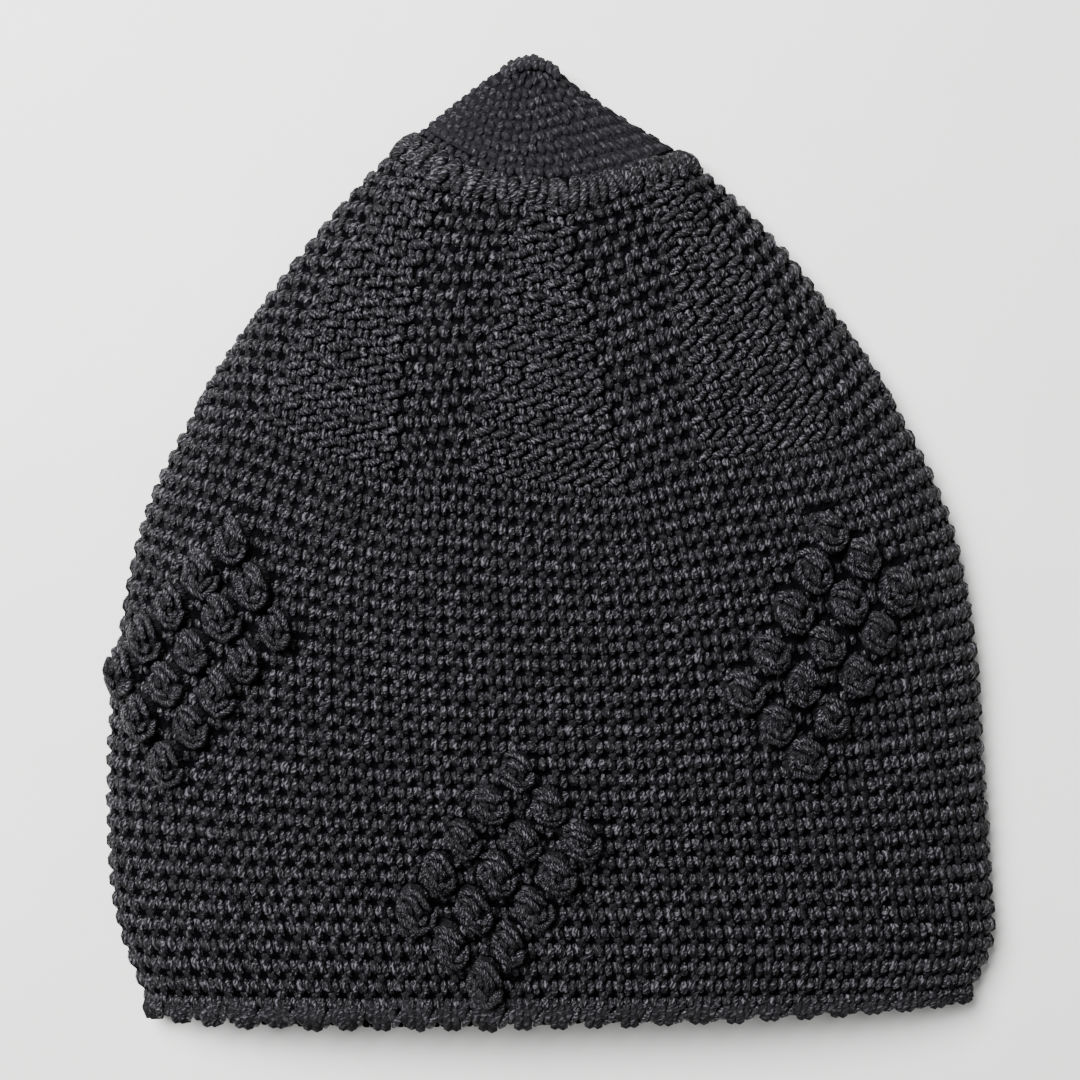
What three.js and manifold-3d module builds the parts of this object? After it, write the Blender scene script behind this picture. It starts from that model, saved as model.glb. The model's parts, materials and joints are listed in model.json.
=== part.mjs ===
// Crocheted prayer cap of thick black cord, lying folded flat on a surface.
// Millimetres, +Z up. The tip points along +Y, the open rim along -Y, and z = 0 is the surface.
// The cloth is one hollow shell: an upper layer that domes, an underside that lies flat, and a
// rolled fold at each side. A place on it is a round (0 at the top of the crown panels, counted
// towards the rim), a share of the way round (0 at the middle of the upper layer, growing towards
// +X) and a depth under the outer face.
import * as THREE from "three";
import { mergeVertices } from "three/addons/utils/BufferGeometryUtils.js";
import Module from "manifold-3d";

const wasm = await Module();
wasm.setup();

// Cloth
const CLOTH = 4; // thickness of the crocheted cloth
const GAP = 0.3; // between pieces that touch
const FOLD_HEIGHT = 6; // middle of a side fold above the surface
const FOLD_ROLL = 12; // how far in from a fold the underside is rolled up
const UNDER_RIM_DROP = 3.5; // how far the lower layer's rim lies beyond the upper one's
const UNDER_DROP_FROM = 28; // the round from which the lower layer starts to run ahead
const LENGTH_MIDDLE = 0.75; // y of the cap's middle in the table below

// Rounds where the pieces meet
const TIP_END = -2;
const PANELS_START = 0;
const WALL_START = 16;
const WALL_END = 46;
const RIM = 47.6;

// Ridge, panels and edging
const RIDGE_STITCHES = 42;
const RIDGE_RISE = 1.8; // of the upright stitches above the cloth
const RIDGE_FLUTE = 1.0; // depth of the groove between two of them
const PANELS = 7;
const PANEL_RISE = 1.2; // of the slanted bars above the cloth
const PANEL_FIRST_BARS = 2;
const BARS_PER_ROUND = 0.45; // added to a panel's width in each round
const PLAIN_BETWEEN = 4.5; // plain stitches between two panels
const SCALLOPS = 49;
const SCALLOP_DIP = 0.62; // share of the edging's height at the valley between two scallops
const EDGING_BULGE = 0.7;
const EDGING_BEVEL = 0.8; // of the free edge

// Popcorn stitches
const WALL_STITCHES = 98; // in one round of the side wall
const POPCORN_WIDE = 10.2;
const POPCORN_TALL = 11.6;
const POPCORN_RISE = 4.8; // above the cloth
const GROUND = 1.3; // thickness of the stitches that join the popcorns of one cluster
const LATTICE_LEFT = -1.4; // stitches that each next popcorn of a long row moves round the cap
const LATTICE_RIGHT = 1.6; // the same for a short row
const LATTICE_ROUNDS = 2; // rounds that either step moves towards the rim
const LONG_ROW = 5;
const SHORT_ROW = 3;
const CLUSTERS = [
  { name: "popcorn_cluster_left", firstStitch: -17.6, firstRound: 21.7 },
  { name: "popcorn_cluster_front", firstStitch: -1.5, firstRound: 32.7 },
  { name: "popcorn_cluster_right", firstStitch: 15.8, firstRound: 20.4 },
];

// Mesh steps
const WALL_AROUND = 72; // points in a loop of the side wall
const TIP_AROUND = 42;
const PANEL_POINTS = 10; // points across one panel
const PLAIN_POINTS = 6; // points between two panels
const SCALLOP_POINTS = 3;
const SEAM = 0.07; // rounds that each of two meeting pieces stays back, which leaves the gap
const LOOP_STEPS = 720; // of the table that measures a loop's length
const FOLD_CROWDING = 0.55; // how much closer a wall loop's points lie at the folds

// One row for each measured round. The columns are the round, the x and y of its left and right
// folds, the y of the middle of the upper layer, the height of the upper layer's outer face, how
// far the underside is lifted, and how much the stitches at the middle are stretched.
const COLUMNS = ["round", "leftX", "leftY", "rightX", "rightY", "middleY", "top", "lift", "stretch"];
const ROUNDS = [
  [-9.6, -7.4, 131.9, -4.2, 131.9, 131.7, 9, 5, 0],
  [-9, -13.6, 129.6, 0.8, 129.6, 126.8, 12.2, 1.2, 0],
  [-7.5, -19.6, 125.6, 7.6, 124.6, 120.8, 14.2, 0, 0],
  [-5, -26.9, 120, 18.4, 117, 110.6, 16.5, 0, 0.12],
  [-2, -35.8, 112.5, 34.4, 107.2, 97.8, 18.5, 0, 0.22],
  [0, -43.3, 106.6, 41.4, 101.6, 89.6, 20, 0, 0.23],
  [3, -54.9, 94.9, 51.4, 92.7, 75.3, 22.5, 0, 0.18],
  [8, -73.8, 72, 69.5, 72.8, 51.8, 26, 0, 0.1],
  [16, -96, 37.9, 94.1, 36.6, 14.6, 30, 0, 0.02],
  [22, -110.3, 8.2, 108.1, 6.9, -11.6, 32, 0, 0],
  [28, -117, -23.6, 114.6, -25.2, -37.4, 32, 0, 0],
  [34, -120, -56, 117, -57.9, -63.4, 30, 0, 0],
  [40, -119.5, -88.7, 119.2, -90.6, -90, 27, 0, 0],
  [43, -116.4, -105, 119.6, -106, -104.5, 25.5, 0, 0],
  [46, -110.3, -121.3, 114, -119.6, -119.2, 24, 0, 0],
  [47.6, -108.2, -127.3, 111.6, -122.2, -126.2, 22, 0, 0],
];

// The value of one column at a round, on a smooth curve through the table's rows.
function columnAt(column, round) {
  const c = COLUMNS.indexOf(column);
  const last = ROUNDS.length - 1;
  let i = 0;
  while (i < last - 1 && ROUNDS[i + 1][0] < round) i += 1;
  const slopeAt = (j) => {
    const before = ROUNDS[Math.max(j - 1, 0)];
    const after = ROUNDS[Math.min(j + 1, last)];
    return (after[c] - before[c]) / (after[0] - before[0]);
  };
  const width = ROUNDS[i + 1][0] - ROUNDS[i][0];
  const t = (round - ROUNDS[i][0]) / width;
  const t2 = t * t;
  const t3 = t2 * t;
  return (
    (2 * t3 - 3 * t2 + 1) * ROUNDS[i][c] +
    (t3 - 2 * t2 + t) * width * slopeAt(i) +
    (3 * t2 - 2 * t3) * ROUNDS[i + 1][c] +
    (t3 - t2) * width * slopeAt(i + 1)
  );
}

const clamp = THREE.MathUtils.clamp;
const smoothstep = THREE.MathUtils.smoothstep;

// A round's own sizes, with the table that turns a share of the way round into a turn angle.
const roundCache = new Map();
function roundSizes(round) {
  if (roundCache.has(round)) return roundCache.get(round);
  const at = Object.fromEntries(COLUMNS.map((name) => [name, columnAt(name, round)]));
  at.underDrop = UNDER_RIM_DROP * smoothstep(round, UNDER_DROP_FROM, RIM);
  at.lift = Math.max(at.lift, 0);
  roundCache.set(round, at);
  at.lengths = [0];
  let before = loopPoint(at, 0, 0);
  for (let i = 1; i <= LOOP_STEPS; i += 1) {
    const point = loopPoint(at, (2 * Math.PI * i) / LOOP_STEPS, 0);
    at.lengths.push(at.lengths[i - 1] + point.distanceTo(before));
    before = point;
  }
  return at;
}

// A point of a round's loop at a turn angle, 0 at the middle of the upper layer and growing towards
// +X, and at a depth under the outer face. A depth below 0 lies outside the cloth.
function loopPoint(at, angle, depth) {
  const half = Math.max((at.rightX - at.leftX) / 2 - depth, 0.5);
  const across = Math.sin(angle);
  const x = (at.leftX + at.rightX) / 2 + half * across;
  const foldY = (at.leftY + at.rightY) / 2 + ((at.rightY - at.leftY) / 2) * across;
  const meanFoldY = (at.leftY + at.rightY) / 2;
  let y = foldY + (at.middleY - meanFoldY) * (1 - across * across);
  let z = FOLD_HEIGHT + (at.top - depth - FOLD_HEIGHT) * Math.cos(angle);
  if (Math.cos(angle) < 0) {
    const roll = Math.min(FOLD_ROLL / half, 0.9);
    const rolled = clamp((Math.abs(across) - 1 + roll) / roll, 0, 1);
    const floor = Math.max(at.lift + depth, 0);
    z = FOLD_HEIGHT - (FOLD_HEIGHT - floor) * Math.sqrt(1 - rolled * rolled);
    y -= at.underDrop * (1 - across ** 4);
  }
  return new THREE.Vector3(x, y - LENGTH_MIDDLE, z);
}

// The turn angle at a share of the way round, measured along the outer face.
function angleAt(at, share) {
  const stretched = share + (at.stretch / (2 * Math.PI)) * Math.sin(2 * Math.PI * share);
  const turns = Math.floor(stretched);
  const wanted = (stretched - turns) * at.lengths[LOOP_STEPS];
  let low = 0;
  let high = LOOP_STEPS;
  while (high - low > 1) {
    const middle = (low + high) >> 1;
    if (at.lengths[middle] <= wanted) low = middle;
    else high = middle;
  }
  const part = (wanted - at.lengths[low]) / (at.lengths[high] - at.lengths[low]);
  return 2 * Math.PI * (turns + (low + part) / LOOP_STEPS);
}

// A point of the cloth.
function clothPoint(round, share, depth) {
  const at = roundSizes(round);
  return loopPoint(at, angleAt(at, share), depth);
}

// One loop of points round the cap.
function clothLoop(round, shares, depth) {
  return shares.map((share) => clothPoint(round, share, depth));
}

function evenShares(count) {
  return Array.from({ length: count }, (_, i) => i / count);
}

// Shares of the way round that lie closer together at the two folds.
function foldedShares(count) {
  const crowding = FOLD_CROWDING / (4 * Math.PI);
  return evenShares(count).map((share) => share + crowding * Math.sin(4 * Math.PI * share));
}

// A closed body swept through loops that have the same number of points. With no poles its last
// loop joins its first, and with poles the first and last loops close on those two points.
function sweptBody(loops, poles) {
  const count = loops[0].length;
  const positions = loops.flat().flatMap((point) => point.toArray());
  const faces = [];
  const joins = poles ? loops.length - 1 : loops.length;
  for (let i = 0; i < joins; i += 1) {
    const from = i * count;
    const to = ((i + 1) % loops.length) * count;
    for (let j = 0; j < count; j += 1) {
      const next = (j + 1) % count;
      faces.push(from + j, to + j, to + next);
      faces.push(from + j, to + next, from + next);
    }
  }
  if (poles) {
    const firstPole = loops.length * count;
    const lastPole = firstPole + 1;
    const lastLoop = (loops.length - 1) * count;
    positions.push(...poles[0].toArray(), ...poles[1].toArray());
    for (let j = 0; j < count; j += 1) {
      const next = (j + 1) % count;
      faces.push(j, next, firstPole);
      faces.push(lastLoop + j, lastPole, lastLoop + next);
    }
  }
  const geometry = new THREE.BufferGeometry();
  geometry.setAttribute("position", new THREE.Float32BufferAttribute(positions, 3));
  geometry.setIndex(faces);
  return geometry;
}

function middleOf(points) {
  const sum = points.reduce((total, point) => total.add(point), new THREE.Vector3());
  return sum.divideScalar(points.length);
}

// The closed pointed top: a hollow cone of plain rounds.
function crownTip() {
  const shares = foldedShares(TIP_AROUND);
  const end = TIP_END - SEAM;
  const outer = [-9.6, -9.3, -8.6, -7.5, -6, -4, end];
  const inner = [end, -4.5, -6.5, -7.6];
  const loops = [
    ...outer.map((round) => clothLoop(round, shares, 0)),
    ...inner.map((round) => clothLoop(round, shares, CLOTH)),
  ];
  return sweptBody(loops, [middleOf(loops[0]), middleOf(loops[loops.length - 1])]);
}

// One round of tall upright stitches, fluted between the stitches.
function ridgeRound() {
  const shares = evenShares(2 * RIDGE_STITCHES);
  const start = TIP_END + SEAM;
  const end = PANELS_START - SEAM;
  const profile = [
    { round: start, rise: 0.2 },
    { round: start + 0.4, rise: 1 },
    { round: end - 0.4, rise: 1 },
    { round: end, rise: 0.2 },
  ];
  const outer = profile.map(({ round, rise }) =>
    shares.map((share, i) => {
      const flute = i % 2 === 1 ? RIDGE_FLUTE : 0;
      return clothPoint(round, share, -rise * (RIDGE_RISE - flute));
    }),
  );
  return sweptBody([...outer, clothLoop(end, shares, CLOTH), clothLoop(start, shares, CLOTH)]);
}

// The places across one repeat of the crown: a raised panel, then the plain stitches beside it.
function crownPlaces(round) {
  const bars = PANEL_FIRST_BARS + BARS_PER_ROUND * Math.max(round, 0);
  const panelShare = bars / (bars + PLAIN_BETWEEN);
  const places = [];
  for (let repeat = 0; repeat < PANELS; repeat += 1) {
    for (let i = 0; i < PANEL_POINTS; i += 1) {
      const across = (i / (PANEL_POINTS - 1) - 0.5) * panelShare;
      const isEdge = i === 0 || i === PANEL_POINTS - 1;
      places.push({ share: (repeat + across) / PANELS, rise: isEdge ? 0 : PANEL_RISE });
    }
    for (let i = 1; i <= PLAIN_POINTS; i += 1) {
      const across = panelShare / 2 + ((1 - panelShare) * i) / (PLAIN_POINTS + 1);
      places.push({ share: (repeat + across) / PANELS, rise: 0 });
    }
  }
  return places;
}

// The rounds with the wedge panels of slanted bars.
function swirlCrown() {
  const start = PANELS_START + SEAM;
  const end = WALL_START - SEAM;
  const outer = [start, 2.5, 5.5, 8.5, 12, end].map((round) =>
    crownPlaces(round).map(({ share, rise }) => clothPoint(round, share, -rise)),
  );
  const inner = [end, 7, start].map((round) => {
    const shares = crownPlaces(round).map(({ share }) => share);
    return clothLoop(round, shares, CLOTH);
  });
  return sweptBody([...outer, ...inner]);
}

// The rounds of the side wall at which its mesh has a loop.
const wallRounds = [WALL_START + SEAM, 20, 24, 29, 34, 38.5, 42.5, WALL_END - SEAM];

// The straight part of the cap.
function sideWall() {
  const shares = foldedShares(WALL_AROUND);
  const inner = [WALL_END - SEAM, 42.5, 37, 30, 23, WALL_START + SEAM];
  return sweptBody([
    ...wallRounds.map((round) => clothLoop(round, shares, 0)),
    ...inner.map((round) => clothLoop(round, shares, CLOTH)),
  ]);
}

// The rim: a ring whose free edge runs in rounded scallops.
function scallopedEdging() {
  const count = SCALLOPS * SCALLOP_POINTS;
  const shares = evenShares(count);
  const start = WALL_END + SEAM;
  const tall = RIM - start;
  const profile = [
    { down: 0, depth: 0 },
    { down: 0.55, depth: -EDGING_BULGE },
    { down: 1, depth: EDGING_BEVEL },
    { down: 1, depth: CLOTH - EDGING_BEVEL },
    { down: 0, depth: CLOTH },
  ];
  const loops = profile.map(({ down, depth }) =>
    shares.map((share, i) => {
      const arch = Math.abs(Math.sin((Math.PI * i) / SCALLOP_POINTS));
      const reach = SCALLOP_DIP + (1 - SCALLOP_DIP) * arch;
      return clothPoint(start + down * tall * reach, share, depth);
    }),
  );
  return sweptBody(loops);
}

// A closed geometry as a solid that can be joined and cut.
function solidOf(geometry) {
  const bare = geometry.clone();
  bare.deleteAttribute("normal");
  bare.deleteAttribute("uv");
  const merged = mergeVertices(bare, 1e-4);
  return new wasm.Manifold(
    new wasm.Mesh({
      numProp: 3,
      vertProperties: merged.attributes.position.array,
      triVerts: new Uint32Array(merged.index.array),
    }),
  );
}

function geometryOf(solid) {
  const mesh = solid.getMesh();
  const geometry = new THREE.BufferGeometry();
  geometry.setAttribute("position", new THREE.BufferAttribute(mesh.vertProperties, 3));
  geometry.setIndex(new THREE.BufferAttribute(mesh.triVerts, 1));
  return geometry;
}

// Everything inside the side wall's outer face and the gap above it.
function wallWithGap() {
  const shares = foldedShares(WALL_AROUND);
  const loops = wallRounds.map((round) => clothLoop(round, shares, -GAP));
  return solidOf(sweptBody(loops, [middleOf(loops[0]), middleOf(loops[loops.length - 1])]));
}

// A place in a cluster's lattice, counted in popcorns along its short and long rows.
function latticePlace(cluster, along, down) {
  const stitch = cluster.firstStitch + along * LATTICE_RIGHT + down * LATTICE_LEFT;
  return {
    share: stitch / WALL_STITCHES,
    round: cluster.firstRound + (along + down) * LATTICE_ROUNDS,
  };
}

// One puffy popcorn, a rounded lump sunk to its middle in the cloth.
function popcorn({ share, round }) {
  const step = 0.5 / WALL_STITCHES;
  const centre = clothPoint(round, share, 0);
  const around = clothPoint(round, share + step, 0).sub(clothPoint(round, share - step, 0));
  const down = clothPoint(round + 0.5, share, 0).sub(clothPoint(round - 0.5, share, 0));
  const outward = new THREE.Vector3().crossVectors(down, around).normalize();
  const right = around.normalize();
  const up = new THREE.Vector3().crossVectors(outward, right);
  const lump = new THREE.SphereGeometry(1, 8, 5);
  lump.rotateX(Math.PI / 2);
  lump.scale(POPCORN_WIDE / 2, POPCORN_TALL / 2, POPCORN_RISE);
  lump.applyMatrix4(new THREE.Matrix4().makeBasis(right, up, outward).setPosition(centre));
  return solidOf(lump);
}

// The stitches that carry one cluster, as a thin patch that reaches into the wall.
function clusterGround(cluster) {
  const margin = 0.2;
  const shortSteps = 5;
  const longSteps = 9;
  const rows = [];
  for (let i = 0; i <= shortSteps; i += 1) {
    const along = SHORT_ROW - 1 + margin - (i * (SHORT_ROW - 1 + 2 * margin)) / shortSteps;
    const row = [];
    for (let j = 0; j <= longSteps; j += 1) {
      const down = -margin + (j * (LONG_ROW - 1 + 2 * margin)) / longSteps;
      row.push(latticePlace(cluster, along, down));
    }
    rows.push(row);
  }
  const layer = (depth) =>
    rows.map((row) => row.map(({ round, share }) => clothPoint(round, share, depth)));
  const top = layer(-GAP - GROUND);
  const bottom = layer(CLOTH / 2);
  // Loops round the patch's thickness: along the top, then back along the bottom.
  const loops = top.map((row, i) => [...row, ...bottom[i].slice().reverse()]);
  return solidOf(sweptBody(loops, [middleOf(loops[0]), middleOf(loops[loops.length - 1])]));
}

function popcornCluster(cluster) {
  let solid = clusterGround(cluster);
  for (let along = 0; along < SHORT_ROW; along += 1) {
    for (let down = 0; down < LONG_ROW; down += 1) {
      solid = solid.add(popcorn(latticePlace(cluster, along, down)));
    }
  }
  return geometryOf(solid.subtract(wallWithGap()));
}

// Shiny black cord, a little bluer where it is worked in bars and popcorns.
const cord = { color: 0x1b1b1f, roughness: 0.5, metalness: 0 };
const raisedCord = { color: 0x202026, roughness: 0.45, metalness: 0 };

const cap = new THREE.Group();

function addPiece(name, geometry, finish) {
  geometry.computeVertexNormals();
  const piece = new THREE.Mesh(geometry, new THREE.MeshStandardMaterial(finish));
  piece.name = name;
  cap.add(piece);
}

addPiece("crown_tip", crownTip(), cord);
addPiece("ridge_round", ridgeRound(), raisedCord);
addPiece("swirl_crown", swirlCrown(), cord);
addPiece("side_wall", sideWall(), cord);
addPiece("scalloped_edging", scallopedEdging(), cord);
for (const cluster of CLUSTERS) {
  addPiece(cluster.name, popcornCluster(cluster), raisedCord);
}

export default cap;
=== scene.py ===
"""Crocheted prayer cap of thick black cord, lying folded flat with its tip away from the viewer.

The cloth is laid out as a chart: along it the share of the way round the cap, 0 at the middle of
the upper layer, and up it the rounds, 0 at the top of the crown panels and counted towards the
rim. Every stitch is shaped in millimetres on that chart, x along the round, y towards the tip and
z out of the cloth, and Geometry Nodes repeat it over the rounds and wrap it on the folded cloth.
"""

import functools
import json
import math

import bpy
import numpy as np
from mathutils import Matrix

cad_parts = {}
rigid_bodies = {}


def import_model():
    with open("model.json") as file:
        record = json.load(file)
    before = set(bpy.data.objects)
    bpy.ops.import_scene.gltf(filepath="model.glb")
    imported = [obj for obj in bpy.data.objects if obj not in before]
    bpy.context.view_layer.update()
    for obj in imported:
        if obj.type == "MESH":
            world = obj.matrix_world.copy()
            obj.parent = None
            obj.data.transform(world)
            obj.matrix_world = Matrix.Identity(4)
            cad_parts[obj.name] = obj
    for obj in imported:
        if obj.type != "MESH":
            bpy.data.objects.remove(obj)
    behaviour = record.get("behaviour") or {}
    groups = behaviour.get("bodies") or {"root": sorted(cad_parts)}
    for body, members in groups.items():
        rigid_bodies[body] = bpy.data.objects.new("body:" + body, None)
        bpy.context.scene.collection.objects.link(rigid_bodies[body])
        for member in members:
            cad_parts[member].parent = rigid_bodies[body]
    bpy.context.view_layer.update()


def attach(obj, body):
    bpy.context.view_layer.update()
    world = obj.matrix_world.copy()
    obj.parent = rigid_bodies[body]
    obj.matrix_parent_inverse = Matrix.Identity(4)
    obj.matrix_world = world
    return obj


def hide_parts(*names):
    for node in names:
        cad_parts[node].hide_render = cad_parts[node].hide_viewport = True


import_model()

MM = 0.001  # metres
MM_IN_CM = 10

# The folded cloth, in millimetres and rounds, as in the part's source
CLOTH_THICKNESS = 4.0
FOLD_HEIGHT = 6.0  # middle of a side fold above the surface
FOLD_ROLL = 12.0  # how far in from a fold the underside is rolled up
UNDER_RIM_DROP = 3.5  # how far the lower layer's rim lies beyond the upper one's
UNDER_DROP_FROM = 28.0  # the round from which the lower layer starts to run ahead
LENGTH_MIDDLE = 0.75  # y of the cap's middle in the table of rounds
TIP_START = -9.6
TIP_END = -2
WALL_START = 16
WALL_END = 46
RIM = 47.6
LOOP_STEPS = 720  # of the table that measures a loop's length
NARROWEST = 0.5  # half the width that a loop keeps in the point of the tip
MOST_ROLLED = 0.9  # share of a narrow loop's underside that may be rolled up

# The chart
WAY_ROUND = 480.0
ROUND_HEIGHT = 4.5
CHART_SIDE = 0.6  # shares of the way round that the chart reaches to each side of 0
CHART_TOP = -10.0  # round at the top of the chart
CHART_ROUNDS = 60.0  # that the chart has room for
POINT_END = -6  # the round down to which the point of the tip takes closer loops
CARRIER_STEP = 0.4  # rounds between the loops of the carrier that the stitches are laid on
CARRIER_FINE_STEP = 0.1  # in the point of the tip
CARRIER_COLUMNS = 601

# Rounds of stitches, and how they lie
WALL_STITCHES = 98
WALL_CLOSE = 0.984  # how much closer the wall's rounds lie than the chart's
DRIFT = 0.07  # stitches that each round of the wall is moved round the cap
FOLD_SHARE = 0.25  # share of the way round at the side folds
PANELS = 7
PANEL_FIRST_BARS = 2
BARS_PER_ROUND = 0.45  # added to a panel's width in each round
PANEL_HEIGHT = -0.5  # of the panels' bars over the cloth
PLAIN_BETWEEN = 4.5  # plain stitches between two panels: 5 and 4 in turn
PLAIN_SPREAD = 1.05  # how much wider than a bar they are
TIP_ROUNDS = 10
TIP_FIRST = 0.45  # rounds from the top of the tip to its first stitches
TIP_WIDE = 4.2  # millimetres of a round that one stitch of the tip takes
TIP_FEWEST = 5
TIP_HEIGHT = -0.5
TIP_TALL = 0.9
TIP_STAGGER = 0.3  # stitches that every other round of the tip is moved
RIDGE_STITCHES = 42
RIDGE_ROUND = -0.85
RIDGE_HEIGHT = 0.25
RIDGE_SHAPED_WIDE = 5.0  # the width that an upright stitch is shaped for
SCALLOPS = 49
SCALLOP_ROUND = 46.85

# How the rows stray, in rounds: over the panels they wave, and in the tip they skew to one side.
# Both grow over the first rounds that they reach, and fade over the last.
WAVE = 0.42
WAVE_FROM = -2
WAVE_FULL_IN = 5
WAVE_UNTIL = 23
WAVE_LOST_IN = 9
TIP_SKEW = 0.5
SKEW_FULL_IN = 2
SKEW_UNTIL = 3
SKEW_LOST_IN = 6

# Popcorn stitches, in slanted lattices
LATTICE_LEFT = -1.4  # stitches that each next popcorn of a long row moves round the cap
LATTICE_RIGHT = 1.6  # the same for a short row
LATTICE_ROUNDS = 2  # that either step moves towards the rim
LONG_ROW = 5
SHORT_ROW = 3
CLUSTERS = {
    "popcorn_cluster_left": (-17.6, 21.7),
    "popcorn_cluster_front": (-1.5, 32.7),
    "popcorn_cluster_right": (15.8, 20.4),
}
POPCORN_WIDE = 0.86  # of a popcorn as it is shaped
POPCORN_TALL = 0.88
POPCORN_LEAN = 0.26  # radians to the left
POPCORN_SLANT = 0.1  # how far its upper end is pushed to the left, for its length
POPCORN_DOME = (5.6, 6.4)  # half the width and the length that its dome has
POPCORN_HIGH = 0.9  # height of the dome, for that in the table of its strands
POPCORN_UNEVEN = 0.5  # how far a point of its strands strays over the dome
POPCORN_TAPER = 0.75  # thickness of a strand's ends, for its own
POPCORN_REACH = 1.3  # stitches or rounds from its middle, within which plain stitches are drawn in
SUNK = 1.0  # how far they are drawn in

# The knot that closes the tip
KNOT_MIDDLE = -5.8  # x of the point of the cap
KNOT_STRANDS = (-6.6, -4.8, -2.9, -1.0, 1.0, 2.9, 4.8, 6.6)
KNOT_HALF_WIDE = 7.5
KNOT_EDGE = 131.6  # y of its outermost edge
KNOT_ROUNDING = 3.4  # how far its edge falls back towards its sides

# Strands
STRAND_SIDES = 6
UNEVEN = 0.17  # how far a point of a strand strays
UNEVEN_BY_AXIS = (1, 1, 0.5)
THINNEST = 0.93  # of the thickness that a strand is shaped with
THICKEST = 1.07
STRAND_END = 0.3  # how far a strand's end stands out, for its thickness there
DEEP_FROM = 50  # number in the cord's UV map of the first strand that lies deep, painted in shade and rougher
LUMP_STEPS = (-0.5, -0.2, 0.2, 0.5)  # points along a lump, for its length
LUMP_BOW = 0.55  # how far a lump's ends lie lower than its middle
LUMP_TAPER = 0.55  # thickness of its ends, for its own

# The cloth behind the stitches
GROUND_DEPTH = 1.7
GROUND_POINTS = 160  # in a loop
GROUND_START = TIP_START + 0.7
GROUND_RIM = 46.8
GROUND_STEP = 1.5  # rounds between the loops of its outer face
GROUND_LEAST_STEP = 0.3  # between its last two loops
GROUND_FINE_STEP = 0.6  # in the point of the tip
HOLLOW_FIRST = 45
HOLLOW_LAST = -7
HOLLOW_STEP = -3.0
HOLLOW_END = -7.4

# One row for each measured round, in millimetres: the round, the x and y of its left and right
# folds, the y of the middle of the upper layer, the height of the upper layer's outer face, how
# far the underside is lifted, and how much the stitches at the middle are stretched.
COLUMNS = ("round", "left_x", "left_y", "right_x", "right_y", "middle_y", "top", "lift", "stretch")
ROUNDS = (
    (-9.6, -7.4, 131.9, -4.2, 131.9, 131.7, 9, 5, 0),
    (-9, -13.6, 129.6, 0.8, 129.6, 126.8, 12.2, 1.2, 0),
    (-7.5, -19.6, 125.6, 7.6, 124.6, 120.8, 14.2, 0, 0),
    (-5, -26.9, 120, 18.4, 117, 110.6, 16.5, 0, 0.12),
    (-2, -35.8, 112.5, 34.4, 107.2, 97.8, 18.5, 0, 0.22),
    (0, -43.3, 106.6, 41.4, 101.6, 89.6, 20, 0, 0.23),
    (3, -54.9, 94.9, 51.4, 92.7, 75.3, 22.5, 0, 0.18),
    (8, -73.8, 72, 69.5, 72.8, 51.8, 26, 0, 0.1),
    (16, -96, 37.9, 94.1, 36.6, 14.6, 30, 0, 0.02),
    (22, -110.3, 8.2, 108.1, 6.9, -11.6, 32, 0, 0),
    (28, -117, -23.6, 114.6, -25.2, -37.4, 32, 0, 0),
    (34, -120, -56, 117, -57.9, -63.4, 30, 0, 0),
    (40, -119.5, -88.7, 119.2, -90.6, -90, 27, 0, 0),
    (43, -116.4, -105, 119.6, -106, -104.5, 25.5, 0, 0),
    (46, -110.3, -121.3, 114, -119.6, -119.2, 24, 0, 0),
    (47.6, -108.2, -127.3, 111.6, -122.2, -126.2, 22, 0, 0),
)


def column_at(column, at_round):
    """The value of one column at a round, on a smooth curve through the table's rows."""
    c = COLUMNS.index(column)
    last = len(ROUNDS) - 1
    i = 0
    while i < last - 1 and ROUNDS[i + 1][0] < at_round:
        i += 1

    def slope(j):
        before = ROUNDS[max(j - 1, 0)]
        after = ROUNDS[min(j + 1, last)]
        return (after[c] - before[c]) / (after[0] - before[0])

    width = ROUNDS[i + 1][0] - ROUNDS[i][0]
    t = (at_round - ROUNDS[i][0]) / width
    return (
        (2 * t**3 - 3 * t**2 + 1) * ROUNDS[i][c]
        + (t**3 - 2 * t**2 + t) * width * slope(i)
        + (3 * t**2 - 2 * t**3) * ROUNDS[i + 1][c]
        + (t**3 - t**2) * width * slope(i + 1)
    )


def between_0_and_1(value):
    """The value, held between 0 and 1."""
    return min(max(value, 0), 1)


def smoothstep(value, low, high):
    """0 up to the low value, 1 from the high one, and a smooth rise between them."""
    t = between_0_and_1((value - low) / (high - low))
    return t * t * (3 - 2 * t)


def loop_points(at, angles, depth):
    """Points of a round's loop at turn angles, 0 at the middle of the upper layer, under its face."""
    half = max((at["right_x"] - at["left_x"]) / 2 - depth, NARROWEST)
    across = np.sin(angles)
    x = (at["left_x"] + at["right_x"]) / 2 + half * across
    mean_fold = (at["left_y"] + at["right_y"]) / 2
    fold_y = mean_fold + (at["right_y"] - at["left_y"]) / 2 * across
    y = fold_y + (at["middle_y"] - mean_fold) * (1 - across**2)
    z = FOLD_HEIGHT + (at["top"] - depth - FOLD_HEIGHT) * np.cos(angles)
    roll = min(FOLD_ROLL / half, MOST_ROLLED)
    rolled = np.clip((np.abs(across) - 1 + roll) / roll, 0, 1)
    floor = max(at["lift"] + depth, 0)
    under = np.cos(angles) < 0
    z = np.where(under, FOLD_HEIGHT - (FOLD_HEIGHT - floor) * np.sqrt(1 - rolled**2), z)
    y = np.where(under, y - at["under_drop"] * (1 - across**4), y)
    return np.stack([x, y - LENGTH_MIDDLE, z], axis=-1)


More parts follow.
